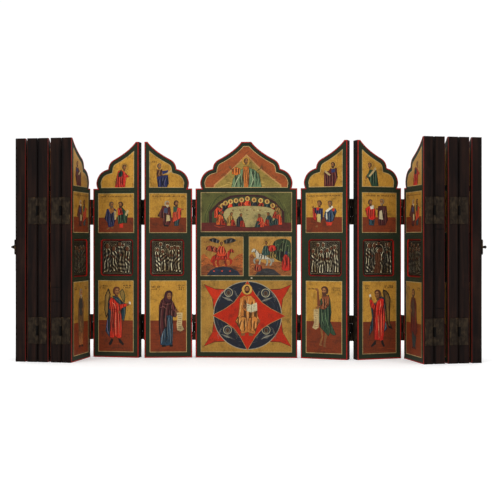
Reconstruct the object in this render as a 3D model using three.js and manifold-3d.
// Folding travel iconostasis: a centre panel with seven hinged leaves on each side.
// Millimetres, +Z up. The origin is the middle of the centre panel's bottom face,
// X runs along its width and -Y is its painted front.
import * as THREE from 'three';
import { mergeVertices } from 'three/addons/utils/BufferGeometryUtils.js';
import Module from 'manifold-3d';

const wasm = await Module();
wasm.setup();

// Boards
const panelHeight = 297;
const centreHalfWidth = 70;
const leafWidth = 65.5;
const leavesPerSide = 7;
const boardThick = 14;
const halfThick = boardThick / 2;

// Ogee top of the centre panel: half widths from its middle line, and heights
const crestHalf = 6.8;
const slopeMid = [16, 284.3];
const slopeFoot = [39, 272.3];
const shoulderMid = [45.6, 268.5];
const notch = [46.4, 259.8];
const lobeMid = [61, 256.5];
const lobeSide = [63.6, 241.4];
const lobeTuck = [63.6, 236.5];
const lobeFoot = [61.8, 233];
const crestSteps = 4;
// A leaf's half profile is this much narrower at its peak edge
const leafPeakCut = 2.5;

// Butt hinges, two at each joint, screwed on the narrow edges
const axisOut = 2.25;
const axisProud = 0.6;
const hingeHeight = 35;
const hingeCentres = { upper: 200.5, lower: 42 };
const plateThick = 1;
const plateReach = 12;
const plateClear = 1.4;
const knuckleRadius = 1.6;
const knuckleSides = 6;
const boreRadius = 1.15;
const boreSides = 5;
const pinRadius = 0.7;
const pinSides = 4;
const middleKnuckle = 12.2;
const knuckleGap = 0.4;
const seatGap = 0.3;
const weld = 0.2;

// Metal relief plaques, set in a recess of each leaf; u runs from the leaf's peak edge
const recess = { u0: 8, u1: 54.4, z0: 112.6, z1: 163, deep: 2.4, corner: 4 };
const plaqueMargin = 1.6;
const plaqueThick = 0.8;
const cornerSteps = 1;
const relief = { body: 1.3, head: 1.25, halo: 0.5, haloSides: 6, headShare: 0.15, front: 3 };

// Clasp parts on the backs of the outermost leaves, level with their near edge
const clasp = { z: 152.5, u: 5.2, wide: 10, tall: 20, thick: 1.5 };
const loop = { half: 2.8, root: 3.2, tip: 0.9, proud: 7 };
const knobSides = 8;
const knobProfile = [[0, 0], [1.7, 0], [1.6, 4.4], [2.1, 4.9], [2.1, 6.3], [1.4, 6.9], [0, 6.9]];

// Fold of each joint at rest, from the centre panel outwards: 0 is flat and 180 is shut
const restFolds = {
  left: [6, 14, 88, 177, 178, 177.5, 179],
  right: [17, 38, 95, 176, 177, 177, 178],
};

const paintedWood = new THREE.MeshStandardMaterial({ color: 0x2b2a22, roughness: 0.5, metalness: 0 });
const darkBrass = new THREE.MeshStandardMaterial({ color: 0x4a3f2c, roughness: 0.5, metalness: 0.85 });
const gildedSilver = new THREE.MeshStandardMaterial({ color: 0x9a8a66, roughness: 0.38, metalness: 0.9 });

// A closed geometry as a solid that can be joined and cut
function toSolid(geometry) {
  const bare = geometry.index ? geometry.toNonIndexed() : geometry.clone();
  bare.deleteAttribute('normal');
  bare.deleteAttribute('uv');
  const merged = mergeVertices(bare, 1e-5);
  const vertProperties = new Float32Array(merged.attributes.position.array);
  const triVerts = new Uint32Array(merged.index.array);
  return new wasm.Manifold(new wasm.Mesh({ numProp: 3, vertProperties, triVerts }));
}

function toGeometry(solid) {
  const { vertProperties, triVerts } = solid.getMesh();
  const geometry = new THREE.BufferGeometry();
  geometry.setAttribute('position', new THREE.BufferAttribute(new Float32Array(vertProperties), 3));
  geometry.setIndex(Array.from(triVerts));
  geometry.computeVertexNormals();
  return geometry;
}

function join(solids) {
  return solids.reduce((sum, solid) => sum.add(solid));
}

function named(name, solid, material) {
  const mesh = new THREE.Mesh(toGeometry(solid), material.clone());
  mesh.name = name;
  return mesh;
}

// A box from its lowest corner to its highest one, given in any order
function slab(x0, x1, y0, y1, z0, z1) {
  const size = [Math.abs(x1 - x0), Math.abs(y1 - y0), Math.abs(z1 - z0)];
  const geometry = new THREE.BoxGeometry(...size);
  geometry.translate((x0 + x1) / 2, (y0 + y1) / 2, (z0 + z1) / 2);
  return toSolid(geometry);
}

// A round rod along Z
function rod(x, y, z0, z1, radius, sides) {
  const geometry = new THREE.CylinderGeometry(radius, radius, z1 - z0, sides);
  geometry.rotateX(Math.PI / 2);
  geometry.translate(x, y, (z0 + z1) / 2);
  return toSolid(geometry);
}

// An outline in X and Z, given thickness from yFront back to yBack
function board(points, yFront, yBack) {
  const shape = new THREE.Shape(points.map(([x, z]) => new THREE.Vector2(x, z)));
  const geometry = new THREE.ExtrudeGeometry(shape, { depth: yBack - yFront, bevelEnabled: false });
  geometry.rotateX(Math.PI / 2);
  geometry.translate(0, yBack, 0);
  return toSolid(geometry);
}

// Points of a curve between two ends, without its first end
function bend(from, control, to, steps) {
  const v = ([x, y]) => new THREE.Vector2(x, y);
  const curve = new THREE.QuadraticBezierCurve(v(from), v(control), v(to));
  return curve.getPoints(steps).slice(1).map((p) => [p.x, p.y]);
}

// Half of the ogee top, from the crest down to the shoulder's edge
function halfCrest(reach, peakCut) {
  const crestEnd = [crestHalf, panelHeight];
  const curves = [
    crestEnd,
    ...bend(crestEnd, slopeMid, slopeFoot, crestSteps),
    ...bend(slopeFoot, shoulderMid, notch, crestSteps - 1),
    ...bend(notch, lobeMid, lobeSide, crestSteps),
    ...bend(lobeSide, lobeTuck, lobeFoot, 2),
  ];
  const shifted = curves.map(([x, z]) => [x - peakCut, z]);
  return [...shifted, [reach, lobeFoot[1]], [reach, 0]];
}

function centreOutline() {
  const half = halfCrest(centreHalfWidth, 0);
  const mirrored = half.map(([x, z]) => [-x, z]).reverse();
  return [...half, ...mirrored];
}

// A leaf's shoulder is beside its inner neighbour on odd leaves and its peak on even ones
function shoulderInside(number) {
  return number % 2 === 1;
}

// Place across a leaf, outwards from its inner edge, of a point u from its peak edge
function acrossLeaf(number, u) {
  return shoulderInside(number) ? leafWidth - u : u;
}

function leafOutline(side, number) {
  const half = [[0, 0], [0, panelHeight], ...halfCrest(leafWidth, leafPeakCut)];
  return half.map(([u, z]) => [side * acrossLeaf(number, u), z]);
}

// Odd joints turn at the front corner of the boards and even ones at the back corner
function axisSide(joint) {
  return joint % 2 === 1 ? -1 : 1;
}

function axisDepth(joint) {
  return axisSide(joint) * (halfThick + axisProud);
}

function hingeSpans(centre) {
  const low = centre - hingeHeight / 2;
  const high = centre + hingeHeight / 2;
  const midLow = centre - middleKnuckle / 2;
  const midHigh = centre + middleKnuckle / 2;
  return { low, high, midLow, midHigh };
}

// A hinge plate's outline in Y and Z, with tabs out to the axis over the spans given
function plateOutline(joint, low, high, tabs) {
  const turn = axisSide(joint);
  const end = turn * (halfThick - plateReach);
  const start = turn * (halfThick - plateClear);
  const points = [[end, high], [end, low], [start, low]];
  for (const [z0, z1] of tabs) {
    points.push([start, z0], [axisDepth(joint), z0], [axisDepth(joint), z1], [start, z1]);
  }
  points.push([start, high]);
  const last = points[0];
  return points.filter(([y, z], i) => {
    const [nextY, nextZ] = points[i + 1] ?? last;
    return y !== nextY || z !== nextZ;
  });
}

// An outline in Y and Z given thickness from x0 to x1
function hingePlate(points, x0, x1) {
  const shape = new THREE.Shape(points.map(([y, z]) => new THREE.Vector2(y, z)));
  const depth = Math.abs(x1 - x0);
  const geometry = new THREE.ExtrudeGeometry(shape, { depth, bevelEnabled: false });
  geometry.applyMatrix4(new THREE.Matrix4().set(0, 0, 1, 0, 1, 0, 0, 0, 0, 1, 0, 0, 0, 0, 0, 1));
  geometry.translate(Math.min(x0, x1), 0, 0);
  return toSolid(geometry);
}

// Plate with the two outer knuckles and the pin; edge is where the board's narrow face is
function pinSide(side, edge, joint, centre) {
  const { low, high, midLow, midHigh } = hingeSpans(centre);
  const x = side * (edge + axisOut);
  const y = axisDepth(joint);
  const ends = [[low, midLow - knuckleGap], [midHigh + knuckleGap, high]];
  const outline = plateOutline(joint, low, high, ends);
  const plate = hingePlate(outline, side * (edge - weld), side * (edge + plateThick));
  const knuckles = ends.map(([z0, z1]) => rod(x, y, z0, z1, knuckleRadius, knuckleSides));
  const pin = rod(x, y, low + 1, high - 1, pinRadius, pinSides);
  return join([plate, ...knuckles, pin]);
}

// Loose plate with the middle knuckle, on the inner edge of the next leaf
function knuckleSide(side, joint, centre) {
  const { low, high, midLow, midHigh } = hingeSpans(centre);
  const x = -side * axisOut;
  const y = axisDepth(joint);
  const near = -side * seatGap;
  const outline = plateOutline(joint, low, high, [[midLow, midHigh]]);
  const plate = hingePlate(outline, near, near - side * plateThick);
  const knuckle = rod(x, y, midLow, midHigh, knuckleRadius, knuckleSides);
  const bore = rod(x, y, midLow - 1, midHigh + 1, boreRadius, boreSides);
  return join([plate, knuckle]).subtract(bore);
}

// Rectangle with round corners, as points in u and z
function roundedFrame(u0, u1, z0, z1, corner) {
  const centres = [
    [u1 - corner, z0 + corner, -90],
    [u1 - corner, z1 - corner, 0],
    [u0 + corner, z1 - corner, 90],
    [u0 + corner, z0 + corner, 180],
  ];
  const points = [];
  for (const [cu, cz, start] of centres) {
    for (let step = 0; step <= cornerSteps; step += 1) {
      const angle = THREE.MathUtils.degToRad(start + (90 * step) / cornerSteps);
      points.push([cu + corner * Math.cos(angle), cz + corner * Math.sin(angle)]);
    }
  }
  return points;
}

function onLeaf(side, number, points) {
  return points.map(([u, z]) => [side * acrossLeaf(number, u), z]);
}

function leafSolid(side, number) {
  let solid = board(leafOutline(side, number), -halfThick, halfThick);
  const hole = roundedFrame(recess.u0, recess.u1, recess.z0, recess.z1, recess.corner);
  const hollow = board(onLeaf(side, number, hole), -halfThick - 1, -halfThick + recess.deep);
  solid = solid.subtract(hollow);
  if (number < leavesPerSide) {
    const hinges = Object.values(hingeCentres).map((z) => pinSide(side, leafWidth, number + 1, z));
    solid = join([solid, ...hinges]);
  }
  return solid;
}

function centreSolid() {
  const parts = [board(centreOutline(), -halfThick, halfThick)];
  for (const side of [-1, 1]) {
    for (const z of Object.values(hingeCentres)) {
      parts.push(pinSide(side, centreHalfWidth, 1, z));
    }
  }
  return join(parts);
}

// A head as a faceted lump, half sunk in the plate
function head(x, face, z, tall) {
  const geometry = new THREE.OctahedronGeometry(tall * 0.62);
  geometry.scale(0.9, relief.head / (tall * 0.62), 1);
  geometry.translate(x, face, z);
  return toSolid(geometry);
}

// A standing robed figure: a ridged body that widens to the hem, a head and a halo
function saint(x, face, foot, tall, wide) {
  const headTall = tall * relief.headShare;
  const headZ = foot + tall - headTall * 0.75;
  const bodyTop = headZ - headTall * 0.4;
  const robe = new THREE.CylinderGeometry(wide * 0.34, wide * 0.5, bodyTop - foot, 4);
  robe.rotateX(Math.PI / 2);
  robe.scale(1, (2 * relief.body) / wide, 1);
  robe.translate(x, face, (bodyTop + foot) / 2);
  const haloRadius = headTall * 0.82;
  const halo = new THREE.CylinderGeometry(haloRadius, haloRadius, 2 * relief.halo, relief.haloSides);
  halo.translate(x, face, headZ);
  return [toSolid(robe), toSolid(halo), head(x, face, headZ, headTall)];
}

// A crowd: a row of standing figures with the heads of a second row between and above theirs
function plaqueSolid(side, number) {
  const u0 = recess.u0 + plaqueMargin;
  const u1 = recess.u1 - plaqueMargin;
  const z0 = recess.z0 + plaqueMargin;
  const z1 = recess.z1 - plaqueMargin;
  const back = -halfThick + recess.deep - seatGap;
  const face = back - plaqueThick;
  const frame = roundedFrame(u0, u1, z0, z1, recess.corner - 1);
  const parts = [board(onLeaf(side, number, frame), face, back)];
  const pitch = (u1 - u0 - 4) / relief.front;
  const middle = (u0 + u1) / 2;
  const foot = z0 + 2;
  for (let i = 0; i < relief.front; i += 1) {
    const x = side * acrossLeaf(number, middle + (i - (relief.front - 1) / 2) * pitch);
    const tall = (z1 - z0) * (0.78 + 0.05 * ((i + number) % 2));
    parts.push(...saint(x, face, foot, tall, pitch * 1.04));
  }
  for (let i = 0; i < relief.front - 1; i += 1) {
    const x = side * acrossLeaf(number, middle + (i - (relief.front - 2) / 2) * pitch);
    parts.push(head(x, face, z0 + (z1 - z0) * 0.88, (z1 - z0) * 0.12));
  }
  const envelope = board(onLeaf(side, number, frame), face - 2 * relief.body, back);
  return join(parts).intersect(envelope);
}

// The clasp's plate, with a lifting loop on the left leaf and a turned knob on the right one
function claspSolid(side) {
  const x = side * acrossLeaf(leavesPerSide, clasp.u);
  const near = halfThick + seatGap;
  const face = near + clasp.thick;
  const half = clasp.wide / 2;
  const plate = slab(x - half, x + half, near, face, clasp.z - clasp.tall / 2, clasp.z + clasp.tall / 2);
  const grip = side < 0 ? loopSolid(x, near, face) : knobSolid(x, face);
  return join([plate, grip]);
}

// The loop narrows to its tip, away from the board
function loopSolid(x, near, face) {
  const root = face - weld;
  const tip = near + loop.proud;
  const outline = [
    [root, clasp.z - loop.root],
    [tip, clasp.z - loop.tip],
    [tip, clasp.z + loop.tip],
    [root, clasp.z + loop.root],
  ];
  return hingePlate(outline, x - loop.half, x + loop.half);
}

function knobSolid(x, face) {
  const points = knobProfile.map(([radius, height]) => new THREE.Vector2(radius, height));
  const knob = new THREE.LatheGeometry(points, knobSides);
  knob.translate(x, face - weld, clasp.z);
  return toSolid(knob);
}

// One leaf, the plates on its inner edge, its plaque and, on the last one, the clasp part
function addLeaf(parent, parentReach, sideName, number) {
  const side = sideName === 'left' ? -1 : 1;
  const fold = THREE.MathUtils.degToRad(restFolds[sideName][number - 1]);
  const pivot = new THREE.Group();
  pivot.position.set(side * (parentReach + axisOut), axisDepth(number), 0);
  pivot.rotation.z = side * axisSide(number) * fold;
  parent.add(pivot);
  const leaf = new THREE.Group();
  leaf.position.set(side * axisOut, -axisDepth(number), 0);
  pivot.add(leaf);
  leaf.add(named(`${sideName}_leaf_${number}`, leafSolid(side, number), paintedWood));
  leaf.add(named(`${sideName}_plaque_${number}`, plaqueSolid(side, number), gildedSilver));
  for (const [place, z] of Object.entries(hingeCentres)) {
    leaf.add(named(`${sideName}_hinge_${number}_${place}`, knuckleSide(side, number, z), darkBrass));
  }
  if (number === leavesPerSide) {
    leaf.add(named(`${sideName}_clasp`, claspSolid(side), darkBrass));
  }
  return leaf;
}

const iconostasis = new THREE.Group();
iconostasis.add(named('centre_panel', centreSolid(), paintedWood));
for (const sideName of ['left', 'right']) {
  let parent = iconostasis;
  let reach = centreHalfWidth;
  for (let number = 1; number <= leavesPerSide; number += 1) {
    parent = addLeaf(parent, reach, sideName, number);
    reach = leafWidth;
  }
}

export default iconostasis;
